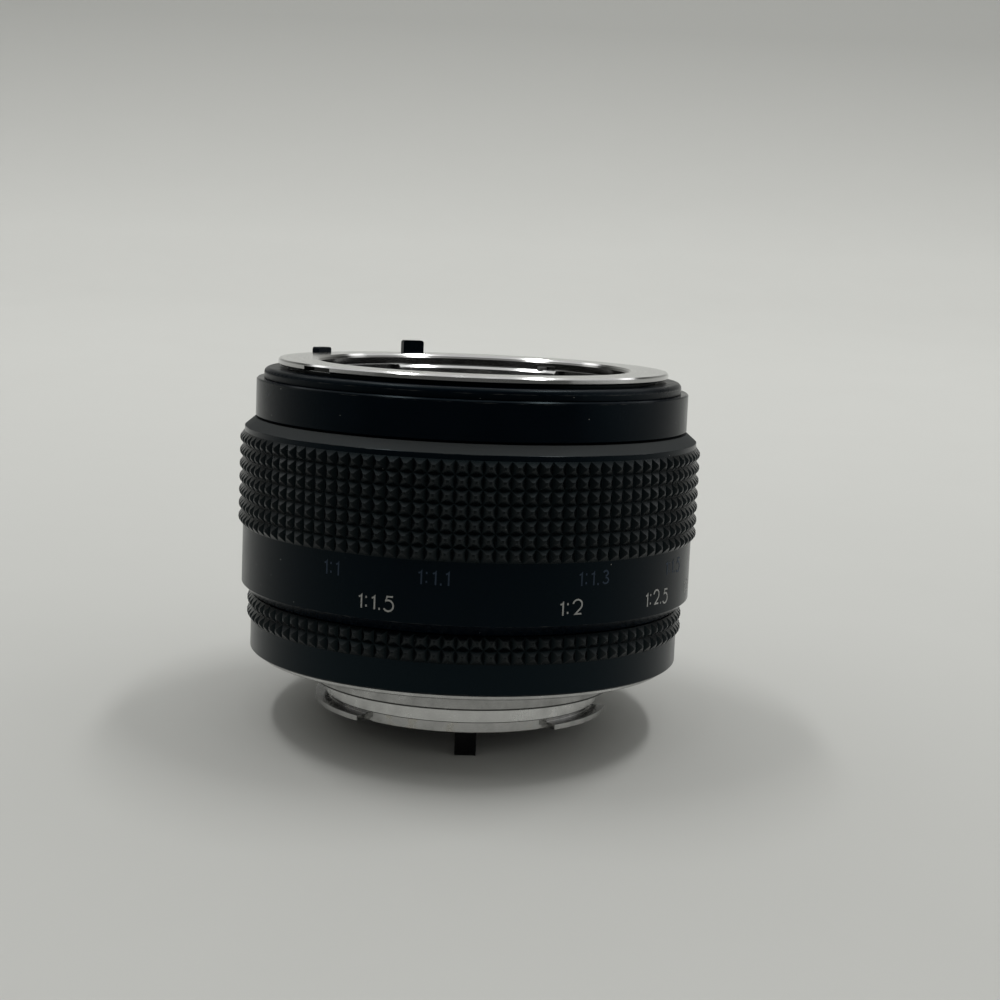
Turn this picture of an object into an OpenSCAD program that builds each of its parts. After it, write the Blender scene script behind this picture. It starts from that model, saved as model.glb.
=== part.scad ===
// Macro focusing teleconverter. The rear barrel locks to a camera, the focusing ring turns on it and its
// helicoid drives a keyed front barrel out, and the lens cell stays with the rear.
// Origin: centre of the rear seat plane. +Z points to the front lens, -Y to the side of the stop-down lever.
// Angles run anticlockwise from +X, seen from the front.

/* [Rear bayonet] */
// Radius of the male bayonet skirt
throat_r = 22.45; // [21.5:0.05:24]
// Height of the skirt below the seat
skirt_h = 2.5; // [2:0.1:4]
// Height of the tail that carries the lugs
tail_h = 1.75; // [1.5:0.05:3]
// Step from the skirt in to the tail
tail_step = 0.55; // [0.2:0.05:0.8]
// Wall between the tail and the mount's bore
skirt_wall = 1.4; // [1:0.1:1.6]
// Reach of a lug beyond the skirt
lug_reach = 1.55; // [1:0.05:2]
// Height of a lug
lug_h = 0.8; // [0.7:0.05:1]
// Arc of a lug in degrees
lug_arc = 40; // [34:1:44]
// Arc of the longer third lug in degrees
long_lug_arc = 56; // [50:1:58]
// Angle of the first lug
lug_angle = -32; // [-40:1:-26]
// Width of the seat round the skirt
seat_w = 2.35; // [2.2:0.05:3]
// Height of the seat boss
boss_h = 3.8; // [3.4:0.1:5]
// Thickness of the mount plate
plate_t = 0.8; // [0.6:0.1:1.5]
// Step from the rear barrel in to the plate
plate_inset = 1.2; // [0.8:0.1:1.4]
// Space between the boss and the heads of the mount screws
mount_screw_gap = 1.2; // [0.8:0.1:1.4]

/* [Front bayonet] */
// Radial clearance of the bayonet
bayonet_fit = 0.1; // [0.05:0.01:0.15]
// Room round the lugs inside the neck
lug_room = 0.6; // [0.4:0.1:1]
// Wall of the neck
neck_wall = 1.6; // [1.4:0.1:2.4]
// Depth of the recess in the face
recess_d = 1.75; // [1.5:0.05:2]
// Bevel of the recess at the face
recess_edge = 0.6; // [0.3:0.05:0.7]
// Thickness of the chrome flange
flange_t = 1.05; // [0.9:0.05:1.4]
// Reach of the flange beyond the coupling collar
flange_reach = 1.5; // [1:0.1:2]
// Arc of a claw in degrees
claw_arc = 72; // [68:1:74]
// Bevel of the inner edge of a claw, next to the ledge
claw_edge = 0.4; // [0.2:0.05:0.5]
// Thickness of the leaf springs
leaf_t = 0.2; // [0.15:0.05:0.3]
// Arc of the notch in the rim in degrees
rim_notch_arc = 11.8; // [8:0.1:16]

/* [Coupling ring] */
// Wall of the collar that the coupling ring turns on
collar_wall = 1.1; // [0.9:0.1:1.6]
// Radial width of the coupling ring
coupling_w = 3.6; // [3.2:0.1:4.2]
// Height of the coupling ring
coupling_h = 1.6; // [1.3:0.1:2]
// Rounding of the coupling ring's top edge
coupling_round = 0.8; // [0.3:0.1:1]
// Shadow gap between the coupling ring and the chrome flange
flange_gap = 0.5; // [0.3:0.1:1]
// Width of the tall tab
tab_a_w = 3.75; // [2.5:0.05:5]
// Height of the tall tab above the face
tab_a_h = 2; // [1:0.1:3]
// Width of the short tab
tab_b_w = 3.2; // [2.5:0.1:5]
// Height of the short tab above the face
tab_b_h = 0.75; // [0.6:0.05:2]
// Radial thickness of a tab
tab_t = 1.5; // [1:0.1:1.7]
// Turn of the coupling ring in degrees
meter_turn = 45; // [20:1:55]

/* [Barrels] */
// Radial clearance of sliding and turning fits
slide_fit = 0.08; // [0.04:0.01:0.1]
// Wall of the rear sleeve
sleeve_wall = 1.6; // [1.3:0.1:2.2]
// Wall of the sliding skirt
barrel_wall = 2; // [1.6:0.1:2.6]
// Step from the skirt out to the name ring
name_step = 1.9; // [1.5:0.05:2.1]
// Height of the name ring
name_h = 6; // [5.5:0.05:9]
// Gap between the focusing ring and the name ring
name_gap = 0.3; // [0.2:0.05:0.4]
// Thickness of the front barrel's top plate
top_t = 2; // [1.5:0.1:2.4]
// Radial width of the rear meter ring
meter_ring_w = 2.2; // [2:0.1:3]
// Wall of the rear barrel
rear_wall = 1.6; // [1.3:0.05:2]
// Height of the rear barrel's smooth band
rear_band_h = 4.75; // [4.6:0.05:8]
// Height of the chamber for the rear meter ring
chamber_h = 4.4; // [4.2:0.1:4.5]
// Thickness of the web across the rear barrel
web_t = 2; // [1.8:0.1:2.2]

/* [Focusing ring] */
// Wall of the focusing ring at the scale band
focus_wall = 3.45; // [3:0.05:4]
// Height of the bottom chamfer
foot_chamfer_h = 1.6; // [0.8:0.1:1.8]
// Reach of the bottom chamfer
foot_chamfer_w = 1.65; // [0.6:0.05:1.8]
// Height of the scale band
band_h = 9.35; // [7:0.05:14]
// Height of the shoulder above the grip
shoulder_h = 0.8; // [0.3:0.1:1.5]
// Step of the shoulder beyond the band
shoulder_step = 0.05; // [0.05:0.05:0.4]
// Height of the top chamfer
top_chamfer_h = 1.4; // [1:0.05:2]
// Reach of the top chamfer
top_chamfer_w = 1.65; // [1.2:0.05:2]
// Gap between barrels that turn or slide past each other
run_gap = 0.2; // [0.12:0.01:0.3]
// Turn of the focusing ring in degrees
focus_turn = 215; // [120:1:300]
// Travel of the front barrel over that turn
extension = 18; // [10:0.5:18]

/* [Rubber grips] */
// Rows of pyramids on the focusing grip
focus_rows = 7; // [5:1:9]
// Height of one row on the focusing grip
focus_pitch = 2.12; // [1.9:0.01:2.4]
// Pyramids round the focusing grip
focus_count = 112; // [90:1:120]
// Rows of pyramids on the rear grip
rear_rows = 2; // [2:1:3]
// Height of one row on the rear grip
rear_pitch = 2.12; // [1.9:0.01:2.4]
// Pyramids round the rear grip
rear_count = 106; // [90:1:116]
// Height of a pyramid
pyramid_h = 0.65; // [0.5:0.05:0.8]
// Width of a pyramid's flat tip
tip_w = 0.42; // [0.2:0.02:0.7]
// Reach of the focusing grip's tips beyond the band
focus_tip = 0.75; // [0.7:0.05:1.3]
// Reach of the rear grip's tips beyond the rear band
rear_tip = 0.65; // [0.6:0.05:0.9]
// Depth of the seat under a grip
grip_seat = 0.5; // [0.4:0.05:0.6]

/* [Stop-down linkage] */
// Width of the stop-down lever
lever_w = 3.3; // [2.5:0.1:4]
// Thickness of the stop-down lever
lever_t = 1.3; // [1:0.1:1.4]
// Reach of the lever below the seat
lever_drop = 8.4; // [6:0.1:10]
// Angle of the lever at rest
lever_angle = -87; // [-91:1:-83]
// Turn of the lever in degrees
lever_turn = 18; // [10:1:20]
// Width of a transfer bar
bar_w = 2.4; // [1.8:0.1:3]
// Width of a fork's leg
leg_w = 1.2; // [0.9:0.1:1.5]
// Clearance between a bar and its fork, and round a link
link_fit = 0.1; // [0.06:0.01:0.15]
// Room beside a link
link_gap = 0.4; // [0.3:0.05:0.6]
// Radial width left for the meter links
link_w = 2.2; // [2:0.1:3]

/* [Optics] */
// Space between the lens cell and the stop-down lever
cell_gap = 1.3; // [1.1:0.1:1.8]
// Wall of the lens cell
cell_wall = 2; // [1.6:0.1:2.4]
// Height of the lens cell above the seat at its rear end
cell_z0 = 2; // [1.4:0.1:2.6]
// Wall of the rings between the elements
spacer_w = 1.35; // [1:0.05:1.6]

/* [Lens release] */
// Angle of the release
release_angle = 60; // [58:0.5:62]
// Travel of the release
release_travel = 1.5; // [1:0.1:1.6]
// Radius of the lock pin
pin_r = 0.8; // [0.6:0.05:0.9]
// Height of the lock pin above the ledge
pin_h = 0.5; // [0.4:0.1:0.9]
// Width of the release knob
knob_w = 7; // [5:0.5:10]

/* [Hidden] */
$fn = 128;

// Overshoot of a cut past a face, depth that a joined piece sinks in, and fit of a fixed piece
cut = 1;
sink = 0.2;
hole_fit = 0.05;

// Radii of the bayonets, from the skirt outwards
tail_r = throat_r - tail_step;
mount_bore_r = tail_r - skirt_wall;
lug_r = throat_r + lug_reach;
boss_r = throat_r + seat_w;
claw_r = throat_r + bayonet_fit;
recess_r = boss_r + bayonet_fit;
neck_in_r = lug_r + lug_room;
neck_r = neck_in_r + neck_wall;
lug_angles = [for (i = [0:2]) lug_angle + 120 * i];
lug_arcs = [lug_arc, lug_arc, long_lug_arc];
lug_mids = [for (i = [0:2]) lug_angles[i] + (lug_arc - lug_arcs[i]) / 2];
lug_play = 4;
claw_arcs = [claw_arc, claw_arc, 120 - long_lug_arc - lug_play];
claw_mids = [for (i = [0:2]) lug_angles[i] + (claw_arcs[i] - claw_arc) / 2];
baffle_seat_w = 1.5;
baffle_seat_r = mount_bore_r + baffle_seat_w;

// Radii of the barrels, from the neck outwards
link_in_r = neck_r + link_gap;
link_out_r = link_in_r + link_w;
sleeve_in_r = link_out_r + link_gap;
sleeve_r = sleeve_in_r + sleeve_wall;
barrel_in_r = sleeve_r + slide_fit;
barrel_r = barrel_in_r + barrel_wall;
focus_bore_r = barrel_r + slide_fit;
collar_r = focus_bore_r - slide_fit;
band_r = focus_bore_r + focus_wall;
name_r = barrel_r + name_step;
coupling_collar_r = link_out_r + collar_wall;
coupling_r = coupling_collar_r + slide_fit + coupling_w;
flange_r = coupling_collar_r + flange_reach;
meter_ring_r = sleeve_r + slide_fit + meter_ring_w;
chamber_r = meter_ring_r + run_gap / 2;
rear_r = chamber_r + rear_wall;
plate_r = rear_r - plate_inset;

// Heights, from the seat upwards
tail_z = -skirt_h - tail_h;
lug_lift = 0.3;
lug_z = tail_z + lug_lift;
rear_z = boss_h + plate_t;
rear_band_z = rear_z + rear_band_h;
rear_top_z = rear_band_z + rear_rows * rear_pitch;
focus_z = rear_top_z + run_gap;
band_z = focus_z + foot_chamfer_h;
grip_z = band_z + band_h;
shoulder_z = grip_z + focus_rows * focus_pitch;
focus_chamfer_z = shoulder_z + shoulder_h;
focus_top_z = focus_chamfer_z + top_chamfer_h;
name_z = focus_top_z + name_gap;
name_top_z = name_z + name_h;
plate_z = name_top_z - top_t;
coupling_z = name_top_z + slide_fit;
flange_z = coupling_z + coupling_h + flange_gap;
face_z = flange_z + flange_t;
ledge_z = face_z - recess_d;

// Focusing-ring lip, the arcs that hold it down and the skirt above them
lip_h = 2.05;
retainer_t = 1.2;
pocket_w = 0.95;
lip_z = focus_z + lip_h;
collar_z = lip_z + run_gap / 2;
retainer_z = collar_z + retainer_t;
pocket_z = retainer_z + run_gap / 2;
barrel_z = retainer_z + run_gap;
sleeve_z = name_z - 0.6;
stop_pin_r = 0.6;
stop_pin_reach = 0.75;
stop_pin_z = (focus_z + lip_z) / 2;
stop_pin_angle = 90;

// Claws, neck and the front baffle
claw_t = skirt_h + tail_h - lug_lift - lug_h - leaf_t;
claw_z = ledge_z - claw_t;
actuator_t = 1.55;
actuator_step = 0.4;
actuator_top_z = claw_z - leaf_t - lug_h - 0.35;
neck_z = actuator_top_z - actuator_t - run_gap / 2;
baffle_t = 1;
baffle_hole_r = claw_r - 0.55;
rear_baffle_z = boss_h - baffle_t;
rim_notch_h = flange_t - 0.3;
rim_notch_d = 1;
rim_notch_angle = -139.2;

// Lever slot, shared by the cell's flange and the rear baffle
web_z = rear_z + web_t;
lever_out_r = mount_bore_r - 0.9;
lever_in_r = lever_out_r - lever_t;
cell_r = lever_in_r - cell_gap;
slot_room = 0.3;
slot_play = 4;
lever_half = asin(lever_w / 2 / lever_in_r);
slot_span = lever_turn + 2 * lever_half + slot_play;
slot_mid = lever_angle + lever_turn / 2;
cell_flange_t = 1.4;
cell_flange_r = neck_r - 0.7;
cell_top_z = web_z + cell_flange_t;
hub_z = cell_top_z + run_gap;
hub_h = 2;
foot_z = hub_z + sink;
foot_top_z = foot_z + hub_h;
hub_r = cell_r + 2;
bar_in_r = lever_out_r + 0.4;
bar_out_r = bar_in_r + 1.5;
engage = 1.8;
stop_bar_z = neck_z - run_gap;
stop_leg_z = stop_bar_z - engage - extension;
rivet_r = 0.5;
rivet_path_r = (bar_in_r + bar_out_r) / 2;

// Return spring of the lever: turns of wire round the lens cell
spring_wire_r = 0.3;
spring_turns = 3;
spring_steps = 24;
spring_sides = 6;
spring_lift = 0.85;
spring_coil_r = cell_r + spring_wire_r + 0.15;
spring_z = hub_z + hub_h + spring_wire_r + hole_fit;

// Meter link, which crosses the sleeve and the coupling collar through arc windows
meter_angle = -10;
meter_lug_angle = 118;
meter_lug_w = 4;
meter_lug_drop = 3.8;
meter_lug_z = rear_z - meter_lug_drop;
meter_bar_in_r = link_in_r + 0.3;
meter_bar_out_r = link_out_r - 0.3;
meter_tab_w = bar_w + 2 * leg_w + 2 * link_fit;
window_span = meter_turn + 2 * asin(meter_tab_w / 2 / link_in_r) + 2.5;
window_mid = meter_angle + meter_turn / 2;
meter_ring_z = rear_z + run_gap / 2;
meter_ring_h = chamber_h - run_gap * 2;
meter_tab_z = web_z + run_gap / 2;
meter_bar_z = plate_z - run_gap * 2;
meter_leg_z = meter_bar_z - engage - extension;
meter_rivet_path_r = (meter_bar_in_r + meter_bar_out_r) / 2;

// Lens release, below the top plate
stem_t = 1.4;
stem_w = 3;
stem_z = plate_z - stem_t - slot_room;
pin_path_r = (claw_r + neck_in_r) / 2;
release_low_z = stem_z - release_travel - run_gap / 2;

// Screws: shank radius, head radius and head height
mount_screw = [0.8, 1.6, 0.7];
cell_screw = [0.8, 1.5, 0.8];
flange_screw = [0.75, 1.3, 0.6];
retainer_screw = [0.55, 0.95, 0.5];
key_screw = [0.55, 0.9, 0.45];
baffle_screw = [0.35, 0.6, 0.3];
blind_skin = 0.3;
tip_gap = 0.1;
mount_screw_r = boss_r + mount_screw[1] + mount_screw_gap;
mount_screw_angles = [45, 135, 225, 315];
cell_screw_angles = [30, 150, 230];
cell_screw_r = cell_flange_r - 2.3;
flange_screw_angles = [95, 160, 225, 305];
flange_screw_r = neck_r + flange_screw[1] + 0.5;
retainer_angles = [30, 150, 270];
retainer_arc = 100;
retainer_screw_angles = [for (a = retainer_angles) for (s = [-35, 35]) a + s];
retainer_screw_r = (sleeve_r + collar_r) / 2;
baffle_screw_angles = [40, 160, 280];
baffle_screw_r = (neck_in_r + actuator_step + neck_r) / 2;
baffle_screw_d = 1.2;

// Guide key, seated in the sleeve and riding in the skirt's slot
key_angle = 180;
key_w = 4;
key_h = 5.5;
key_seat = 1;
key_z = sleeve_z - key_h - 0.8;
key_out_r = barrel_r - 0.35;
key_screw_zs = [for (s = [0.28, 0.72]) key_z + s * key_h];

// Optical stack from the rear: edge height, rear sag, front sag and the gap to the next element.
// A sag is positive where the face bulges outwards
cement = 0.02;
lens_stack = [
    [3.0, -1.2, 1.2, 2.8],
    [2.6, 1.0, -1.6, cement],
    [2.8, 1.6, 1.0, 2.0],
    [3.6, -1.4, -1.2, 2.4],
    [3.0, 1.3, 1.4, cement],
    [3.2, -1.4, -0.9, 1.8],
    [3.2, 1.0, 1.6, 0]];
cell_bore_r = cell_r - cell_wall;
lens_r = cell_bore_r - 0.03;
spacer_in_r = lens_r - spacer_w;
ball_facets = 400;
cell_lip_h = 1;
function ball_r(sag) = (lens_r * lens_r + sag * sag) / (2 * abs(sag));
function rim_rise(sag) = sag > 0 ? sqrt(pow(ball_r(sag), 2) - pow(spacer_in_r, 2)) - ball_r(sag) + sag : 0;
function lens_z(i) =
    i == 0 ? cell_z0 + cell_lip_h : lens_z(i - 1) + lens_stack[i - 1][0] + lens_stack[i - 1][3];
lens_last = len(lens_stack) - 1;
lens_top_z = lens_z(lens_last) + lens_stack[lens_last][0];
retaining_ring_h = 1.3;
cell_z1 = lens_top_z + retaining_ring_h + run_gap;

// Ring between two radii and two heights
module ring(r_in, r_out, z0, z1) {
    rotate_extrude() translate([r_in, z0]) square([r_out - r_in, z1 - z0]);
}

// Sector of a ring, centred on an angle
module sector(r_in, r_out, z0, z1, mid, span) {
    rotate([0, 0, mid - span / 2])
        rotate_extrude(angle = span) translate([r_in, z0]) square([r_out - r_in, z1 - z0]);
}

// Block that reaches from one radius to another at an angle
module block(r_in, r_out, z0, z1, mid, width, shift = 0) {
    rotate([0, 0, mid]) translate([r_in, shift - width / 2, z0]) cube([r_out - r_in, width, z1 - z0]);
}

// Upright hole or pin at a radius and an angle
module post(r, path_r, mid, z0, z1) {
    rotate([0, 0, mid]) translate([path_r, 0, z0]) cylinder(r = r, h = z1 - z0);
}

// Radial hole or pin at a height and an angle
module spoke(r, r_in, r_out, mid, z) {
    rotate([0, 0, mid]) translate([r_in, 0, z]) rotate([0, 90, 0]) cylinder(r = r, h = r_out - r_in);
}

// Cross-slotted screw that points up from its head, size given as shank, head radius and head height
module screw(size, length) {
    slot_w = size[1] * 0.3;
    difference() {
        union() {
            translate([0, 0, -size[2]]) cylinder(r = size[1], h = size[2]);
            translate([0, 0, -size[2] / 2]) cylinder(r = size[0], h = length + size[2] / 2);
        }
        for (a = [0, 90])
            rotate([0, 0, a]) translate([-size[1] * 0.7, -slot_w / 2, -size[2] - 1])
                cube([size[1] * 1.4, slot_w, 1 + size[2] * 0.5]);
    }
}

// Turned body from an outline of radius and height
module turned(outline) {
    rotate_extrude() polygon(outline);
}

// Rubber sleeve of square pyramids with flat tips round the axis
module pyramid_sleeve(r_in, r_tip, z0, rows, pitch, count) {
    r_valley = r_tip - pyramid_h;
    step = 360 / count;
    tip_turn = asin(tip_w / 2 / r_tip);
    corners = [for (j = [0:rows]) for (i = [0:count - 1])
        [r_valley * cos(i * step), r_valley * sin(i * step), z0 + j * pitch]];
    tips = [for (j = [0:rows - 1]) for (i = [0:count - 1]) for (s = [[-1, -1], [1, -1], [1, 1], [-1, 1]])
        let (turn = (i + 0.5) * step + s[0] * tip_turn)
        [r_tip * cos(turn), r_tip * sin(turn), z0 + (j + 0.5) * pitch + s[1] * tip_w / 2]];
    inside = [for (j = [0, rows]) for (i = [0:count - 1])
        [r_in * cos(i * step), r_in * sin(i * step), z0 + j * pitch]];
    first_tip = len(corners);
    first_inside = first_tip + len(tips);
    sides = [for (j = [0:rows - 1]) for (i = [0:count - 1])
        let (k = (i + 1) % count, a = j * count + i, b = j * count + k, c = b + count, d = a + count,
            p = first_tip + 4 * a)
        each [[a, p, p + 1, b], [b, p + 1, p + 2, c], [c, p + 2, p + 3, d], [d, p + 3, p, a],
            [p, p + 3, p + 2, p + 1]]];
    ends = [for (i = [0:count - 1])
        let (k = (i + 1) % count, m = first_inside, n = first_inside + count, t = rows * count)
        each [[m + i, i, k, m + k], [n + i, n + k, t + k, t + i], [m + k, n + k, n + i, m + i]]];
    polyhedron(concat(corners, tips, inside), concat(sides, ends));
}

// Silver rear mount: plate, boss with the seat, skirt, tail and three lugs
module rear_mount() {
    edge = 0.15;
    notch_arc = 4;
    notch_d = 0.6;
    notch_lap = 0.4;
    hole_d = pin_h + 0.3;
    color("silver") union() {
        difference() {
            turned([[mount_bore_r, tail_z], [tail_r - edge, tail_z], [tail_r, tail_z + edge],
                [tail_r, -skirt_h], [throat_r, -skirt_h], [throat_r, 0], [boss_r, 0],
                [boss_r, boss_h], [plate_r - edge, boss_h], [plate_r, boss_h + edge], [plate_r, rear_z],
                [baffle_seat_r, rear_z], [baffle_seat_r, rear_baffle_z], [mount_bore_r, rear_baffle_z]]);
            for (i = [0:2]) for (s = [-1, 1])
                sector(tail_r - notch_d, tail_r + cut, tail_z - cut, -skirt_h - sink,
                    lug_mids[i] + s * ((lug_arcs[i] + notch_arc) / 2 - notch_lap), notch_arc);
            for (a = mount_screw_angles)
                post(mount_screw[0] + hole_fit, mount_screw_r, a, boss_h - cut, rear_z + cut);
            post(pin_r + bayonet_fit, pin_path_r, release_angle, -cut, hole_d);
            meter_notch(plate_r + cut, boss_h - cut, rear_z + cut);
        }
        for (i = [0:2])
            sector(tail_r - notch_d - sink, lug_r, lug_z, lug_z + lug_h, lug_mids[i], lug_arcs[i]);
    }
}

// Arc that the rear meter lug sweeps, cut from the lug's inner face outwards
module meter_notch(r_out, z0, z1) {
    r_in = meter_ring_r - tab_t - run_gap;
    span = meter_turn + 2 * asin(meter_lug_w / 2 / r_in) + 2;
    sector(r_in, r_out, z0, z1, meter_lug_angle + meter_turn / 2, span);
}

// Pan-head screws that hold the mount's plate to the web
module rear_mount_screws() {
    color("silver") for (a = mount_screw_angles)
        rotate([0, 0, a]) translate([mount_screw_r, 0, boss_h])
            screw(mount_screw, plate_t + web_t - blind_skin - tip_gap);
}

// Fixed black barrel: smooth band, seat of the rear grip, collar, sleeve and web
module rear_barrel() {
    edge = 0.2;
    seat_r = rear_r - grip_seat;
    color("#15181a") difference() {
        turned([[mount_bore_r, rear_z], [sleeve_r, rear_z], [sleeve_r, rear_z + chamber_h],
            [chamber_r, rear_z + chamber_h], [chamber_r, rear_z], [rear_r - edge, rear_z],
            [rear_r, rear_z + edge], [rear_r, rear_band_z], [seat_r, rear_band_z], [seat_r, rear_top_z],
            [collar_r, rear_top_z], [collar_r, collar_z], [sleeve_r, collar_z], [sleeve_r, sleeve_z],
            [sleeve_in_r, sleeve_z], [sleeve_in_r, web_z], [mount_bore_r, web_z]]);
        sector(sleeve_in_r - cut, sleeve_r + cut, web_z, rear_z + chamber_h - run_gap / 2, window_mid,
            window_span);
        for (a = mount_screw_angles)
            post(mount_screw[0] + hole_fit, mount_screw_r, a, rear_z - cut, web_z - blind_skin);
        for (a = cell_screw_angles)
            post(cell_screw[0] + hole_fit, cell_screw_r, a, rear_z + blind_skin, web_z + cut);
        for (a = retainer_screw_angles)
            post(retainer_screw[0] + hole_fit, retainer_screw_r, a, rear_top_z, collar_z + cut);
        spoke(stop_pin_r + hole_fit / 2, sleeve_r - sink, collar_r + cut, stop_pin_angle, stop_pin_z);
        block(sleeve_r - key_seat, sleeve_r + cut, key_z, key_z + key_h, key_angle, key_w);
        for (z = key_screw_zs)
            spoke(key_screw[0] + hole_fit, sleeve_in_r - cut, sleeve_r, key_angle, z);
    }
}

// Two-row rubber sleeve on the rear barrel
module rear_grip() {
    color("#0e0f10")
        pyramid_sleeve(rear_r - grip_seat + hole_fit, rear_r + rear_tip, rear_band_z, rear_rows, rear_pitch,
            rear_count);
}

// Arc slot that clears the stop-down lever
module lever_slot(z0, z1) {
    sector(lever_in_r - slot_room, lever_out_r + slot_room, z0, z1, slot_mid, slot_span);
}

// Black light baffle between the rear mount and the web
module rear_baffle() {
    color("#111315") difference() {
        ring(cell_r + hole_fit, baffle_seat_r - hole_fit, rear_baffle_z, rear_z);
        lever_slot(rear_baffle_z - cut, rear_z + cut);
    }
}

// Black tube that holds the glass, with a lip at the rear and a flange on the web
module lens_cell() {
    color("#1a1c1e") difference() {
        turned([[cell_bore_r - spacer_w, cell_z0], [cell_r, cell_z0], [cell_r, web_z], [cell_flange_r, web_z],
            [cell_flange_r, cell_top_z], [cell_r, cell_top_z], [cell_r, cell_z1], [cell_bore_r, cell_z1],
            [cell_bore_r, cell_z0 + cell_lip_h], [cell_bore_r - spacer_w, cell_z0 + cell_lip_h]]);
        lever_slot(web_z - cut, cell_top_z + cut);
        for (a = cell_screw_angles)
            post(cell_screw[0] + hole_fit, cell_screw_r, a, web_z - cut, cell_top_z + cut);
    }
}

// Screws that hold the cell's flange to the web
module cell_screws() {
    color("dimgray") for (a = cell_screw_angles)
        rotate([0, 0, a]) translate([cell_screw_r, 0, cell_top_z]) mirror([0, 0, 1])
            screw(cell_screw, cell_flange_t + web_t - blind_skin - tip_gap);
}

// Ball whose cap has the given height over the lens radius, touching the plane from above or below
module lens_ball(sag, z, up) {
    drop = ball_r(sag) - abs(sag);
    translate([0, 0, z + up * (sag > 0 ? -drop : drop)]) sphere(r = ball_r(sag), $fn = ball_facets);
}

// One element of the stack, bounded by an edge cylinder and two spherical faces
module element(i) {
    size = lens_stack[i];
    z0 = lens_z(i);
    z1 = z0 + size[0];
    low = z0 - max(size[1], 0);
    high = z1 + max(size[2], 0);
    color("#9fb4c0", 0.5) difference() {
        intersection() {
            translate([0, 0, low]) cylinder(r = lens_r, h = high - low);
            if (size[1] > 0) lens_ball(size[1], z0, -1);
            if (size[2] > 0) lens_ball(size[2], z1, 1);
        }
        if (size[1] < 0) lens_ball(size[1], z0, -1);
        if (size[2] < 0) lens_ball(size[2], z1, 1);
    }
}

// The seven elements, from the camera side to the front
module lens_rear() { element(0); }
module lens_6() { element(1); }
module lens_5() { element(2); }
module lens_4() { element(3); }
module lens_3() { element(4); }
module lens_2() { element(5); }
module lens_front() { element(lens_last); }

// Ring in the cell's bore whose ends follow the bulge of the faces they rest on
module spacer(z0, z1, low_sag, high_sag) {
    turned([[spacer_in_r, z0 + rim_rise(low_sag) + cement], [lens_r, z0 + cement], [lens_r, z1 - cement],
        [spacer_in_r, z1 - rim_rise(high_sag) - cement]]);
}

// Rings that hold the separate groups apart
module lens_spacers() {
    color("#1a1c1e") for (i = [0:lens_last - 1])
        if (lens_stack[i][3] > cement)
            spacer(lens_z(i) + lens_stack[i][0], lens_z(i + 1), lens_stack[i][2], lens_stack[i + 1][1]);
}

// Slotted ring that closes the stack at the front
module lens_retainer() {
    slot_w = 1.2;
    slot_d = 0.6;
    top_z = lens_top_z + retaining_ring_h;
    color("#1a1c1e") difference() {
        spacer(lens_top_z, top_z, lens_stack[lens_last][2], 0);
        for (a = [0, 180])
            block(spacer_in_r - cut, lens_r + cut, top_z - slot_d, cell_z1 + cut, a, slot_w);
    }
}

// Three arcs that hold the focusing ring's lip down on the collar
module focus_ring_retainer() {
    color("#b59a5a") difference() {
        for (a = retainer_angles)
            sector(sleeve_r + hole_fit, focus_bore_r + pocket_w - run_gap / 2, collar_z, retainer_z, a,
                retainer_arc);
        for (a = retainer_screw_angles) {
            post(retainer_screw[0] + hole_fit, retainer_screw_r, a, collar_z - cut, retainer_z + cut);
            post(retainer_screw[1] + hole_fit, retainer_screw_r, a, retainer_z - retainer_screw[2],
                retainer_z + cut);
        }
    }
}

// Flush screws of the retaining arcs
module retainer_screws() {
    length = retainer_t - retainer_screw[2] + collar_z - rear_top_z - tip_gap;
    color("silver") for (a = retainer_screw_angles)
        rotate([0, 0, a]) translate([retainer_screw_r, 0, retainer_z - retainer_screw[2]]) mirror([0, 0, 1])
            screw(retainer_screw, length);
}

// Key that lets the front barrel slide and stops it from turning
module guide_key() {
    color("#b59a5a") difference() {
        block(sleeve_r - key_seat, key_out_r, key_z, key_z + key_h, key_angle, key_w);
        for (z = key_screw_zs) {
            spoke(key_screw[0] + hole_fit, sleeve_in_r - cut, key_out_r + cut, key_angle, z);
            spoke(key_screw[1] + hole_fit, key_out_r - key_screw[2], key_out_r + cut, key_angle, z);
        }
    }
}

// Screws of the guide key
module guide_key_screws() {
    length = key_out_r - key_screw[2] - sleeve_in_r - tip_gap;
    color("silver") for (z = key_screw_zs)
        rotate([0, 0, key_angle]) translate([key_out_r - key_screw[2], 0, z]) rotate([0, -90, 0])
            screw(key_screw, length);
}

// Pin in the collar that ends the focusing ring's turn
module focus_stop_pin() {
    color("silver") spoke(stop_pin_r, sleeve_r - sink, collar_r + stop_pin_reach, stop_pin_angle, stop_pin_z);
}

// Black focusing ring: foot chamfer, scale band, grip seat, shoulder and top chamfer over the bore
module focus_ring() {
    pocket_r = focus_bore_r + pocket_w;
    seat_r = band_r - grip_seat;
    shoulder_r = band_r + shoulder_step;
    groove_gap = run_gap / 2;
    groove_r = focus_bore_r + stop_pin_reach + groove_gap;
    groove_span = focus_turn + 2 * asin((stop_pin_r + groove_gap) / focus_bore_r);
    color("#15181a") difference() {
        turned([[focus_bore_r, focus_z], [band_r - foot_chamfer_w, focus_z], [band_r, band_z],
            [band_r, grip_z], [seat_r, grip_z], [seat_r, shoulder_z], [shoulder_r, shoulder_z],
            [shoulder_r, focus_chamfer_z], [shoulder_r - top_chamfer_w, focus_top_z],
            [focus_bore_r, focus_top_z], [focus_bore_r, pocket_z], [pocket_r, pocket_z],
            [pocket_r, lip_z], [focus_bore_r, lip_z]]);
        sector(focus_bore_r - cut, groove_r, stop_pin_z - stop_pin_r - groove_gap, lip_z + cut,
            stop_pin_angle - focus_turn / 2, groove_span);
    }
}

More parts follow.
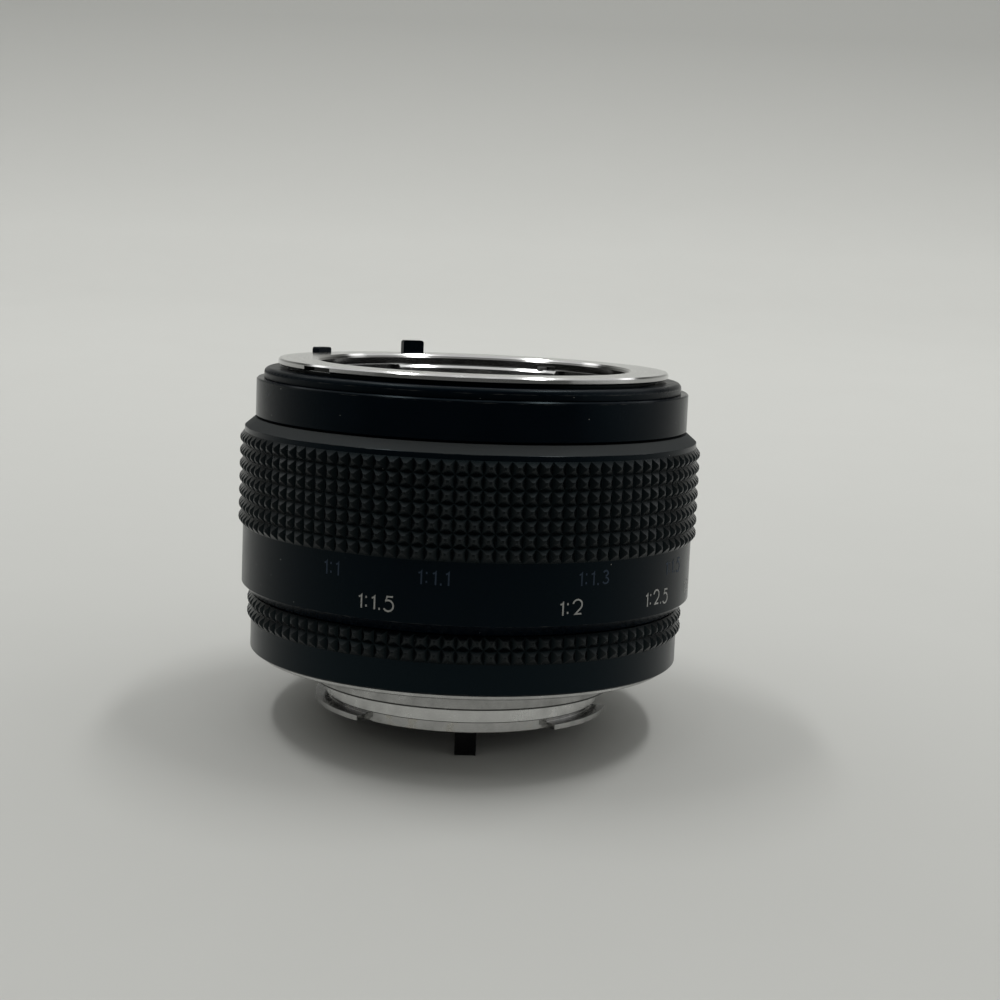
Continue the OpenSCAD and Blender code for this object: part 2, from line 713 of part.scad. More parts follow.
// Seven-row rubber sleeve on the focusing ring
module focus_grip() {
    color("#0e0f10")
        pyramid_sleeve(band_r - grip_seat + hole_fit, band_r + focus_tip, grip_z, focus_rows, focus_pitch,
            focus_count);
}

// Black front barrel: sliding skirt, name ring, top plate and the collar of the coupling ring
module front_barrel() {
    edge = 0.2;
    foot_edge = 0.15;
    plate_in_r = neck_r + hole_fit;
    color("#15181a") difference() {
        turned([[barrel_in_r, barrel_z], [barrel_r, barrel_z], [barrel_r, name_z],
            [name_r - foot_edge, name_z], [name_r, name_z + foot_edge],
            [name_r, name_top_z - edge], [name_r - edge, name_top_z],
            [coupling_collar_r, name_top_z], [coupling_collar_r, flange_z], [plate_in_r, flange_z],
            [plate_in_r, plate_z], [barrel_in_r, plate_z]]);
        sector(neck_r - cut, link_out_r + link_gap, plate_z - cut, flange_z + cut, window_mid, window_span);
        sector(link_out_r, coupling_collar_r + cut, name_top_z, flange_z + cut, window_mid, window_span);
        block(sleeve_r - cut, barrel_r + cut, barrel_z - cut, key_z + key_h + run_gap, key_angle,
            key_w + 2 * link_fit);
        block(barrel_in_r - cut, name_r + cut, release_low_z, plate_z - run_gap, release_angle,
            stem_w + 2 * link_fit);
        for (a = flange_screw_angles)
            post(flange_screw[0] + hole_fit, flange_screw_r, a, plate_z - cut, flange_z + cut);
    }
}

// Polished chrome ring: face, recess, ledge with three claws, and the neck below
module front_mount_ring() {
    edge = 0.25;
    seat_in_r = neck_in_r + actuator_step;
    color("#d5d8da") difference() {
        union() {
            turned([[seat_in_r, neck_z], [neck_r, neck_z], [neck_r, flange_z], [flange_r - edge, flange_z],
                [flange_r, flange_z + edge], [flange_r, face_z - edge], [flange_r - edge, face_z],
                [recess_r + recess_edge, face_z], [recess_r, face_z - recess_edge], [recess_r, ledge_z],
                [neck_in_r, ledge_z], [neck_in_r, actuator_top_z], [seat_in_r, actuator_top_z]]);
            for (i = [0:2])
                rotate([0, 0, claw_mids[i] - claw_arcs[i] / 2]) rotate_extrude(angle = claw_arcs[i])
                    polygon([[claw_r, claw_z], [neck_in_r + sink, claw_z], [neck_in_r + sink, ledge_z],
                        [claw_r + claw_edge, ledge_z], [claw_r, ledge_z - claw_edge]]);
        }
        sector(flange_r - rim_notch_d, flange_r + cut, flange_z - cut, flange_z + rim_notch_h,
            rim_notch_angle, rim_notch_arc);
        block(claw_r - cut, neck_r + cut, neck_z - cut, plate_z - run_gap, release_angle,
            stem_w + 2 * link_fit);
        post(pin_r + hole_fit, pin_path_r, release_angle, neck_z - cut, face_z + cut);
        for (a = flange_screw_angles)
            post(flange_screw[0], flange_screw_r, a, flange_z - cut, face_z - blind_skin);
        for (a = baffle_screw_angles)
            post(baffle_screw[0], baffle_screw_r, a, neck_z - cut, neck_z + baffle_screw_d);
    }
}

// Screws that hold the chrome ring from below the top plate
module front_mount_screws() {
    color("silver") for (a = flange_screw_angles)
        rotate([0, 0, a]) translate([flange_screw_r, 0, plate_z])
            screw([flange_screw[0] - hole_fit, flange_screw[1], flange_screw[2]],
                face_z - blind_skin - tip_gap - plate_z);
}

// Leaf springs under the claws that draw a lens against the ledge
module bayonet_springs() {
    leaf_arc = 30;
    leaf_inset = 0.25;
    color("silver") for (a = lug_angles)
        sector(claw_r + leaf_inset, neck_in_r - leaf_inset, claw_z - leaf_t, claw_z, a, leaf_arc);
}

// Black plate under the neck that keeps the stop-down actuator in
module front_baffle() {
    color("#111315") difference() {
        ring(baffle_hole_r, neck_r, neck_z - baffle_t, neck_z);
        block(baffle_hole_r - cut, neck_r + cut, neck_z - baffle_t - cut, neck_z + cut, release_angle,
            stem_w + 2 * slot_room);
        for (a = baffle_screw_angles)
            post(baffle_screw[0] + hole_fit, baffle_screw_r, a, neck_z - baffle_t - cut, neck_z + cut);
    }
}

// Small screws of the front baffle
module baffle_screws() {
    color("dimgray") for (a = baffle_screw_angles)
        rotate([0, 0, a]) translate([baffle_screw_r, 0, neck_z - baffle_t])
            screw([baffle_screw[0] - hole_fit, baffle_screw[1], baffle_screw[2]],
                baffle_t + baffle_screw_d - tip_gap);
}

// Upright tab with rounded top corners
module tab(mid, width, z0, z1) {
    round_r = 0.45;
    rotate([0, 0, mid]) translate([flange_r + run_gap, 0, 0]) rotate([90, 0, 90]) linear_extrude(tab_t) {
        translate([-width / 2, z0]) square([width, z1 - z0 - round_r]);
        translate([round_r - width / 2, z0]) square([width - 2 * round_r, z1 - z0]);
        for (s = [-1, 1])
            translate([s * (width / 2 - round_r), z1 - round_r]) circle(r = round_r, $fn = 32);
    }
}

// Black turning ring with a rounded top edge and two tabs that a lens pushes
module meter_coupling_ring() {
    bore_r = coupling_collar_r + slide_fit;
    top_z = coupling_z + coupling_h;
    tab_a_angle = 110;
    tab_b_angle = 144;
    color("#1b1d1f") union() {
        rotate_extrude() {
            translate([bore_r, coupling_z]) square([coupling_w - coupling_round, coupling_h]);
            translate([bore_r, coupling_z]) square([coupling_w, coupling_h - coupling_round]);
            translate([coupling_r - coupling_round, top_z - coupling_round]) circle(r = coupling_round);
        }
        tab(tab_a_angle, tab_a_w, coupling_z + sink, face_z + tab_a_h);
        tab(tab_b_angle, tab_b_w, coupling_z + sink, face_z + tab_b_h);
    }
}

// Arm from the coupling ring into the barrel, with two legs that straddle the transfer bar
module meter_fork() {
    ring_bore_r = coupling_collar_r + slide_fit;
    arm_out_r = sqrt(pow(ring_bore_r, 2) - pow(meter_tab_w / 2, 2));
    arm_z = name_top_z + run_gap;
    color("#8c8f92") union() {
        block(meter_bar_in_r, arm_out_r, arm_z, flange_z - flange_gap, meter_angle, meter_tab_w);
        for (s = [-1, 1])
            block(meter_bar_in_r, meter_bar_out_r, meter_leg_z, arm_z + sink, meter_angle, leg_w,
                s * (bar_w / 2 + link_fit + leg_w / 2));
    }
}

// Turning ring in the rear chamber, with the lug that a camera reads and a tab for the transfer bar
module meter_rear_ring() {
    ring_in_r = sleeve_r + slide_fit;
    tab_z = meter_ring_z + meter_ring_h;
    color("#8c8f92") difference() {
        union() {
            ring(ring_in_r, meter_ring_r, meter_ring_z, tab_z);
            block(meter_ring_r - tab_t, meter_ring_r - hole_fit, meter_lug_z, meter_ring_z + sink,
                meter_lug_angle, meter_lug_w);
            block(meter_bar_in_r, ring_in_r + sink, meter_tab_z, tab_z, meter_angle, meter_tab_w);
        }
        post(rivet_r + hole_fit, meter_rivet_path_r, meter_angle, meter_tab_z - cut, tab_z + cut);
    }
}

// Upright bar that carries the meter turn through the fork, riveted to the rear ring's tab
module meter_transfer_bar() {
    tab_z = meter_ring_z + meter_ring_h;
    color("#8c8f92") union() {
        block(meter_bar_in_r, meter_bar_out_r, tab_z, meter_bar_z, meter_angle, bar_w);
        post(rivet_r, meter_rivet_path_r, meter_angle, meter_tab_z, tab_z + sink);
    }
}

// Ring that turns on the lens cell, with the black lever below the mount and a foot for the bar
module stop_down_lever() {
    foot_w = 5;
    color("#0c0d0e") difference() {
        union() {
            ring(cell_r + slide_fit, hub_r, hub_z, hub_z + hub_h);
            block(lever_in_r, lever_out_r, -lever_drop, hub_z + hub_h - sink, lever_angle, lever_w);
            block(hub_r - 2 * sink, bar_out_r, foot_z, foot_top_z, lever_angle, foot_w);
        }
        post(rivet_r + hole_fit, rivet_path_r, lever_angle, foot_z - cut, foot_top_z + cut);
    }
}

// Upright bar that carries the stop-down turn to the front, riveted to the lever's foot
module stop_down_bar() {
    color("#8c8f92") union() {
        block(bar_in_r, bar_out_r, foot_top_z, stop_bar_z, lever_angle, bar_w);
        post(rivet_r, rivet_path_r, lever_angle, foot_z, foot_top_z + sink);
    }
}

// Point on the spring's surface, a number of steps along the wire and round it
function spring_point(i, k) =
    let (turn = 360 * i / spring_steps, side = 360 * k / spring_sides,
        r = spring_coil_r + spring_wire_r * cos(side))
    [r * cos(turn), r * sin(turn), spring_z + spring_lift * i / spring_steps + spring_wire_r * sin(side)];

// Return spring of the lever: a wire of a few turns round the cell
module stop_down_spring() {
    rings = spring_turns * spring_steps;
    points = [for (i = [0:rings]) for (k = [0:spring_sides - 1]) spring_point(i, k)];
    walls = [for (i = [0:rings - 1]) for (k = [0:spring_sides - 1])
        let (a = i * spring_sides + k, b = i * spring_sides + (k + 1) % spring_sides)
        each [[a, b, b + spring_sides], [a, b + spring_sides, a + spring_sides]]];
    caps = [[for (k = [spring_sides - 1:-1:0]) k], [for (k = [0:spring_sides - 1]) rings * spring_sides + k]];
    color("silver") polyhedron(points, concat(walls, caps));
}

// Part ring in the neck that pushes the front lens's lever, with two legs that straddle the bar
module stop_down_actuator() {
    ring_out_r = neck_in_r + actuator_step - slide_fit;
    ring_z = neck_z + run_gap / 4;
    top_z = ring_z + actuator_t;
    ring_arc = 210;
    arm_arc = 26;
    arm_mid = lever_angle - 7;
    finger_arc = 9;
    finger_mid = lever_angle - lever_half - finger_arc / 2 - 2;
    finger_drop = 2.2;
    color("#8c8f92") union() {
        sector(baffle_hole_r + sink, ring_out_r, ring_z, top_z, lever_angle, ring_arc);
        sector(bar_in_r, baffle_hole_r + 2 * sink, ring_z, top_z, arm_mid, arm_arc);
        sector(lever_in_r, bar_in_r + sink, ring_z - finger_drop, top_z, finger_mid, finger_arc);
        for (s = [-1, 1])
            block(bar_in_r, bar_out_r, stop_leg_z, ring_z + sink, lever_angle, leg_w,
                s * (bar_w / 2 + link_fit + leg_w / 2));
    }
}

// Ribbed knob at the back of the name ring with the stem that carries the lock pin
module lens_release() {
    knob_t = 1.4;
    knob_r = name_r + run_gap;
    stem_end = 0.4;
    rib_d = 0.4;
    knob_z = stem_z - 0.5;
    knob_h = stem_t + 1;
    rib_w = 0.5;
    rib_gap = 1.1;
    ribs = floor((knob_w - 1) / rib_gap / 2);
    color("#15181a") difference() {
        union() {
            block(pin_path_r - pin_r - stem_end, knob_r + sink, stem_z, stem_z + stem_t, release_angle,
                stem_w);
            block(knob_r, knob_r + knob_t, knob_z, knob_z + knob_h, release_angle, knob_w);
        }
        for (i = [-ribs:ribs])
            block(knob_r + knob_t - rib_d, knob_r + knob_t + cut, knob_z - cut, knob_z + knob_h + cut,
                release_angle, rib_w, i * rib_gap);
        post(pin_r + hole_fit / 2, pin_path_r, release_angle, stem_z - cut, stem_z + stem_t + cut);
    }
}

// Pin that stands above the ledge and drops with the release
module lock_pin() {
    foot_r = pin_r + 0.4;
    foot_h = 0.5;
    color("silver") union() {
        post(pin_r, pin_path_r, release_angle, stem_z - foot_h, ledge_z + pin_h);
        post(foot_r, pin_path_r, release_angle, stem_z - foot_h, stem_z);
    }
}

// Leaf that hangs from the top plate and holds the release up
module release_spring() {
    leaf_span = 24;
    leaf_shift = 10;
    pad_span = 4;
    leaf_z = stem_z - leaf_t - hole_fit;
    pad_mid = release_angle + leaf_shift + leaf_span / 2 - pad_span;
    color("silver") union() {
        sector(meter_bar_in_r, meter_bar_out_r, leaf_z, leaf_z + leaf_t, release_angle + leaf_shift,
            leaf_span);
        sector(meter_bar_in_r + sink, meter_bar_out_r - sink, leaf_z + leaf_t / 2, plate_z, pad_mid,
            pad_span);
    }
}

rear_mount();
rear_mount_screws();
rear_barrel();
rear_grip();
rear_baffle();
lens_cell();
cell_screws();
lens_rear();
lens_6();
lens_5();
lens_4();
lens_3();
lens_2();
lens_front();
lens_spacers();
lens_retainer();
focus_ring_retainer();
retainer_screws();
guide_key();
guide_key_screws();
focus_stop_pin();
focus_ring();
focus_grip();
front_barrel();
front_mount_ring();
front_mount_screws();
bayonet_springs();
front_baffle();
baffle_screws();
meter_coupling_ring();
meter_fork();
meter_rear_ring();
meter_transfer_bar();
stop_down_lever();
stop_down_bar();
stop_down_spring();
stop_down_actuator();
lens_release();
lock_pin();
release_spring();
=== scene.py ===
# Macro focusing teleconverter: the finish of every piece, the rubber grips, the scale, and a studio.
import math

import bmesh
import bpy
from mathutils import Matrix, Vector


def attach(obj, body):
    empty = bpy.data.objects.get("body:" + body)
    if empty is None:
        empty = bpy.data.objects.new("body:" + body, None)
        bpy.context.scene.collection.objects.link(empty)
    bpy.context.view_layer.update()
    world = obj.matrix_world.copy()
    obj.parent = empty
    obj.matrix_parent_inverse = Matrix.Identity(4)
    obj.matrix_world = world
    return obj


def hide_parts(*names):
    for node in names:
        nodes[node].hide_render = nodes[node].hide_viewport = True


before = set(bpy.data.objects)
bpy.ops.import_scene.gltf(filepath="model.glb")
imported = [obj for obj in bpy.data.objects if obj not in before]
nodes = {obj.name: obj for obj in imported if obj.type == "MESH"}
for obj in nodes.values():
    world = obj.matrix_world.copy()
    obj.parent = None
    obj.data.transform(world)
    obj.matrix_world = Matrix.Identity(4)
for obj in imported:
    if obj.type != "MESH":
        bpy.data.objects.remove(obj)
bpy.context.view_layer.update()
MM = 0.001


# Rear mount: the male bayonet that goes into a camera. It is turned from brass and satin chromed, milled
# beside its three lugs, and held by four screws under the rear barrel. Each step is painted its own tone, as
# painted shade and reflection.
def node(tree, kind, inputs=None, **settings):
    made = tree.nodes.new("ShaderNode" + kind)
    for key, value in settings.items():
        setattr(made, key, value)
    for key, value in (inputs or {}).items():
        socket = made.inputs[key]
        if isinstance(key, str):
            socket = next(s for s in made.inputs if s.name == key and s.enabled)
        if isinstance(value, bpy.types.NodeSocket):
            tree.links.new(value, socket)
        else:
            socket.default_value = value
    return made


def sum_of(tree, operation, a, b=0.0, clamp=False):
    return node(tree, "Math", {0: a, 1: b}, operation=operation, use_clamp=clamp).outputs[0]


def effect(name, inputs, outputs):
    tree = bpy.data.node_groups.new(name, "ShaderNodeTree")
    for key, value in inputs.items():
        tree.interface.new_socket(key, in_out="INPUT", socket_type="NodeSocketFloat").default_value = value
    for key in outputs:
        tree.interface.new_socket(key, in_out="OUTPUT", socket_type="NodeSocketFloat")
    return tree, tree.nodes.new("NodeGroupInput").outputs, tree.nodes.new("NodeGroupOutput").inputs


def place(tree, group, **inputs):
    made = tree.nodes.new("ShaderNodeGroup")
    made.node_tree = group
    for key, value in inputs.items():
        made.inputs[key.replace("_", " ").title()].default_value = value
    return made.outputs


# Turned coordinates in millimetres: distance from the optical axis, height above the seat, and turns
turned, _, turned_out = effect("turned_coordinates", {}, ["Radius", "Height", "Turn"])
xyz = node(turned, "SeparateXYZ", {0: node(turned, "TexCoord").outputs["Object"]}).outputs
flat = node(turned, "CombineXYZ", {0: xyz[0], 1: xyz[1]}).outputs[0]
across = node(turned, "VectorMath", {0: flat}, operation="LENGTH").outputs["Value"]
turned.links.new(sum_of(turned, "MULTIPLY", across, 1 / MM), turned_out["Radius"])
turned.links.new(sum_of(turned, "MULTIPLY", xyz[2], 1 / MM), turned_out["Height"])
bearing = sum_of(turned, "ARCTAN2", xyz[1], xyz[0])
turned.links.new(sum_of(turned, "DIVIDE", bearing, 2 * math.pi), turned_out["Turn"])

# Marks of the lathe: fine rings that differ across the radius and the height, and not round the axis
lathe, lathe_in, lathe_out = effect("lathe_marks", {"Fineness": 6.0}, ["Marks"])
at = place(lathe, turned)
ring_place = node(lathe, "CombineXYZ", {0: at["Radius"], 1: at["Height"]}).outputs[0]
rings = node(lathe, "TexNoise", {"Vector": ring_place, "Scale": lathe_in["Fineness"], "Detail": 3.0})
lathe.links.new(rings.outputs["Fac"], lathe_out["Marks"])

# Handling: broad smudges, a fine grain and stray specks of dust
SPECK_R = 0.075
handled, handled_in, handled_out = effect(
    "handling", {"Smudge Size": 9.0, "Grain Size": 0.12, "Dust Spacing": 3.0}, ["Smudge", "Grain", "Dust"])
spot = node(handled, "VectorMath", {0: node(handled, "TexCoord").outputs["Object"], "Scale": 1 / MM},
            operation="SCALE").outputs[0]
smudge_scale = sum_of(handled, "DIVIDE", 1.0, handled_in["Smudge Size"])
smudge = node(handled, "TexNoise", {"Vector": spot, "Scale": smudge_scale, "Detail": 5.0, "Roughness": 0.6})
grain_scale = sum_of(handled, "DIVIDE", 1.0, handled_in["Grain Size"])
grain = node(handled, "TexNoise", {"Vector": spot, "Scale": grain_scale, "Detail": 1.0})
dust_scale = sum_of(handled, "DIVIDE", 1.0, handled_in["Dust Spacing"])
specks = node(handled, "TexVoronoi", {"Vector": spot, "Scale": dust_scale})
speck_size = sum_of(handled, "DIVIDE", SPECK_R, handled_in["Dust Spacing"])
handled.links.new(smudge.outputs["Fac"], handled_out["Smudge"])
handled.links.new(grain.outputs["Fac"], handled_out["Grain"])
handled.links.new(sum_of(handled, "LESS_THAN", specks.outputs["Distance"], speck_size), handled_out["Dust"])


def finish(name, color, roughness, metallic=0.0, specular=0.5, gloss_tint=(1, 1, 1)):
    material = bpy.data.materials.new(name)
    material.use_nodes = True
    shader = material.node_tree.nodes["Principled BSDF"]
    shader.inputs["Base Color"].default_value = (*color, 1)
    shader.inputs["Roughness"].default_value = roughness
    shader.inputs["Metallic"].default_value = metallic
    shader.inputs["Specular IOR Level"].default_value = specular
    shader.inputs["Specular Tint"].default_value = (*gloss_tint, 1)
    return material, material.node_tree, shader.inputs


def spread(tree, value, low, high, start=0.3, end=0.7):
    ranged = {"Value": value, "From Min": start, "From Max": end, "To Min": low, "To Max": high}
    return node(tree, "MapRange", ranged).outputs[0]


def shade(tree, factor, first, second):
    ends = {"Factor": factor}
    for key, color in (("A", first), ("B", second)):
        ends[key] = color if isinstance(color, bpy.types.NodeSocket) else (*color, 1)
    made = node(tree, "Mix", ends, data_type="RGBA")
    return next(s for s in made.outputs if s.enabled)


def relief(tree, surface, height, depth, strength=1.0):
    bump = node(tree, "Bump", {"Height": height, "Distance": depth * MM, "Strength": strength})
    tree.links.new(bump.outputs["Normal"], surface["Normal"])
    return bump


def between(tree, value, low, high):
    above = sum_of(tree, "GREATER_THAN", value, low)
    return sum_of(tree, "MULTIPLY", above, sum_of(tree, "LESS_THAN", value, high))


def girdle(tree, at, low, high, inner, outer):
    level = between(tree, at["Height"], low, high)
    return sum_of(tree, "MULTIPLY", level, between(tree, at["Radius"], inner, outer))


def dress(material, *names):
    for name in names:
        nodes[name].data.materials.clear()
        nodes[name].data.materials.append(material)


# Foot of each step and its tone of painted shade and reflection, from the tail up to the plate
STEP_SHADE_TONES = [(-4.3, 0.46), (-2.5, 0.66), (0.0, 0.27), (3.8, 0.4)]
MOUNT_LOW, MOUNT_HIGH = -5.0, 5.0
SKIRT_FOOT_Z = -2.5
PLATING_DULL_SHADED = (0.2, 0.2, 0.195)
PLATING_CLEAN_LIT = (0.8, 0.8, 0.785)
BRASS_STAIN = (0.34, 0.29, 0.19)
# Low, high, inner and outer limits of the edges and undercuts painted dark, as painted shade
SHADED_EDGES = [(-0.05, 0.25, 24.72, 25.0), (-2.52, -2.4, 22.4, 22.6), (-3.17, -2.55, 22.0, 24.2)]
EDGE_SHADE = (0.05, 0.05, 0.048)
satin_chrome, tree, surface = finish("satin_chrome", (0.6, 0.6, 0.59), 0.24, metallic=1.0)
touch = place(tree, handled, smudge_size=3.0, grain_size=0.1)
at = place(tree, turned)
# Painted shade and reflection: each step gets its own tone by height, and the smudges vary it
mount_share = spread(tree, at["Height"], 0.0, 1.0, MOUNT_LOW, MOUNT_HIGH)
steps = node(tree, "ValToRGB", {"Fac": mount_share})
ramp = steps.color_ramp
ramp.interpolation = "CONSTANT"
ramp.elements.remove(ramp.elements[1])
for height, tone in STEP_SHADE_TONES:
    ramp.elements.new((height - MOUNT_LOW) / (MOUNT_HIGH - MOUNT_LOW)).color = (tone, tone, tone, 1)
ramp.elements[0].color = ramp.elements[1].color
uneven = spread(tree, touch["Smudge"], -0.18, 0.16)
clean_and_lit = sum_of(tree, "ADD", steps.outputs["Color"], uneven, clamp=True)
plated_and_shaded = shade(tree, clean_and_lit, PLATING_DULL_SHADED, PLATING_CLEAN_LIT)
below_skirt = sum_of(tree, "LESS_THAN", at["Height"], SKIRT_FOOT_Z)
stained = sum_of(tree, "MULTIPLY", spread(tree, touch["Smudge"], 0.0, 0.5, 0.52, 0.72), below_skirt)
plated_and_shaded = shade(tree, stained, plated_and_shaded, BRASS_STAIN)
# Painted shade along the edges and undercuts
for edge in SHADED_EDGES:
    plated_and_shaded = shade(tree, girdle(tree, at, *edge), plated_and_shaded, EDGE_SHADE)
tree.links.new(plated_and_shaded, surface["Base Color"])
tree.links.new(spread(tree, touch["Smudge"], 0.18, 0.3), surface["Roughness"])
relief(tree, surface, place(tree, lathe, fineness=5.0)["Marks"], depth=0.01, strength=0.5)
dress(satin_chrome, "rear_mount")


# Steel fasteners and links: bright cross-slotted screws, pins and the riveted bars of both linkages.
# They are plain machined steel with a little oil tint in the grain.
STEEL_DARK = (0.32, 0.32, 0.33)
STEEL_LIGHT = (0.5, 0.5, 0.49)
steel, tree, surface = finish("plain_steel", (0.42, 0.42, 0.43), 0.34, metallic=1.0)
touch = place(tree, handled, smudge_size=2.0, grain_size=0.15)
tree.links.new(shade(tree, touch["Smudge"], STEEL_DARK, STEEL_LIGHT), surface["Base Color"])
tree.links.new(spread(tree, touch["Grain"], 0.26, 0.42), surface["Roughness"])
relief(tree, surface, touch["Grain"], depth=0.008, strength=0.6)
dress(steel, "rear_mount_screws", "cell_screws", "retainer_screws", "guide_key_screws", "front_mount_screws",
      "baffle_screws", "focus_stop_pin", "meter_fork", "meter_transfer_bar", "stop_down_bar",
      "stop_down_actuator", "lock_pin")


# Rear coupling ring: the ring behind the mount whose tab passes the aperture setting on to the camera.
# Stamped steel, blued, with the blueing rubbed thin in patches.
BLUED_DARK = (0.05, 0.053, 0.064)
BLUED_THIN = (0.16, 0.16, 0.165)
blued, tree, surface = finish("blued_steel", (0.1, 0.105, 0.12), 0.38, metallic=1.0)
touch = place(tree, handled, smudge_size=1.6, grain_size=0.12)
tree.links.new(shade(tree, touch["Smudge"], BLUED_DARK, BLUED_THIN), surface["Base Color"])
tree.links.new(spread(tree, touch["Smudge"], 0.44, 0.3), surface["Roughness"])
relief(tree, surface, touch["Grain"], depth=0.01, strength=0.6)
dress(blued, "meter_rear_ring")


# Rear barrel: fixed black band next to the camera, with the sleeve inside that everything slides on.
# Turned aluminium, satin black anodised, rubbed a little grey along its outer edges.
WEAR_FADE = 0.08
worn, worn_in, worn_out = effect(
    "edge_wear", {"Edge Radius": 34.5, "Edge Height": 4.6, "Reach": 0.1}, ["Mask"])
at = place(worn, turned)
side = sum_of(worn, "SUBTRACT", at["Radius"], worn_in["Edge Radius"])
rise = sum_of(worn, "SUBTRACT", at["Height"], worn_in["Edge Height"])
away = node(worn, "CombineXYZ", {0: side, 1: rise}).outputs[0]
away = node(worn, "VectorMath", {0: away}, operation="LENGTH").outputs["Value"]
chips = place(worn, handled, smudge_size=2.6, grain_size=0.2)["Smudge"]
limit = sum_of(worn, "MULTIPLY", spread(worn, chips, 0.0, 1.5, 0.4, 0.75), worn_in["Reach"])
bare = sum_of(worn, "DIVIDE", sum_of(worn, "SUBTRACT", limit, away), WEAR_FADE, clamp=True)
worn.links.new(bare, worn_out["Mask"])

ANODISED_DARK = (0.0004, 0.0014, 0.0032)
ANODISED_LIGHT = (0.0012, 0.003, 0.0058)
ANODISED_GLOSS = (0.6, 0.9, 1.0)
RUBBED = (0.035, 0.035, 0.034)
DUST = (0.3, 0.3, 0.28)
LATHE_SHARE, GRAIN_SHARE = 0.4, 0.6


def anodised(name, edges, specular, roughness=0.22):
    material, tree, surface = finish(name, ANODISED_DARK, roughness, specular=specular,
                                     gloss_tint=ANODISED_GLOSS)
    touch = place(tree, handled, smudge_size=11.0, grain_size=0.09)
    color = shade(tree, touch["Smudge"], ANODISED_DARK, ANODISED_LIGHT)
    for radius, height in edges:
        color = shade(tree, place(tree, worn, edge_radius=radius, edge_height=height)["Mask"], color, RUBBED)
    tree.links.new(shade(tree, touch["Dust"], color, DUST), surface["Base Color"])
    tree.links.new(spread(tree, touch["Smudge"], roughness - 0.05, roughness + 0.06), surface["Roughness"])
    marks = sum_of(tree, "MULTIPLY", place(tree, lathe, fineness=7.0)["Marks"], LATHE_SHARE)
    height = sum_of(tree, "ADD", sum_of(tree, "MULTIPLY", touch["Grain"], GRAIN_SHARE), marks)
    return material, tree, surface, relief(tree, surface, height, depth=0.012, strength=0.35)


REAR_R = 34.78
REAR_EDGES = [(REAR_R, 4.8), (34.58, 4.6)]
rear_black, *_ = anodised("rear_anodised", REAR_EDGES, specular=0.13)
dress(rear_black, "rear_barrel")


# Rear grip: a moulded rubber sleeve of two rows of small square pyramids, pressed over a seat in the rear
# barrel. Fingers have polished the tips, and the valleys stay dull and keep a little pale dust.
REAR_VALLEY_R, REAR_TIP_R = 34.78, 35.42
FOCUS_VALLEY_R, FOCUS_TIP_R = 36.51, 37.15
BETWEEN_GRIPS_R = 35.7
TIP_POLISH = 0.3
RUBBER_DARK = (0.0005, 0.0008, 0.0012)
RUBBER_LIGHT = (0.0016, 0.0021, 0.0028)
RUBBER_GLOSS = (0.58, 0.9, 1.0)
RUBBER_DUST = (0.12, 0.12, 0.115)
rubber, tree, surface = finish("grip_rubber", (0.001, 0.0013, 0.0016), 0.28, specular=0.11,
                               gloss_tint=RUBBER_GLOSS)
surface["Coat Roughness"].default_value = 0.2
reach = place(tree, turned)["Radius"]
on_focus = sum_of(tree, "GREATER_THAN", reach, BETWEEN_GRIPS_R)
valley = spread(tree, on_focus, REAR_VALLEY_R, FOCUS_VALLEY_R, 0.0, 1.0)
polish = spread(tree, sum_of(tree, "SUBTRACT", reach, valley), 0.0, TIP_POLISH, 0.12, 0.6)
tree.links.new(polish, surface["Coat Weight"])
touch = place(tree, handled, smudge_size=8.0, grain_size=0.1, dust_spacing=2.2)
color = shade(tree, touch["Smudge"], RUBBER_DARK, RUBBER_LIGHT)
tree.links.new(shade(tree, touch["Dust"], color, RUBBER_DUST), surface["Base Color"])
tree.links.new(spread(tree, touch["Smudge"], 0.22, 0.34), surface["Roughness"])
relief(tree, surface, touch["Grain"], depth=0.02, strength=0.5)

PITCH = 2.12
# Each step of a pyramid, from its foot: how far it goes in, and its share of the whole height
PYRAMID_STEPS = [(0.01, 0.0), (0.79, 0.94), (0.1, 0.05), (0.06, 0.01)]
WELD = 0.002


def verts_of(geometry):
    return [v for v in geometry if isinstance(v, bmesh.types.BMVert)]


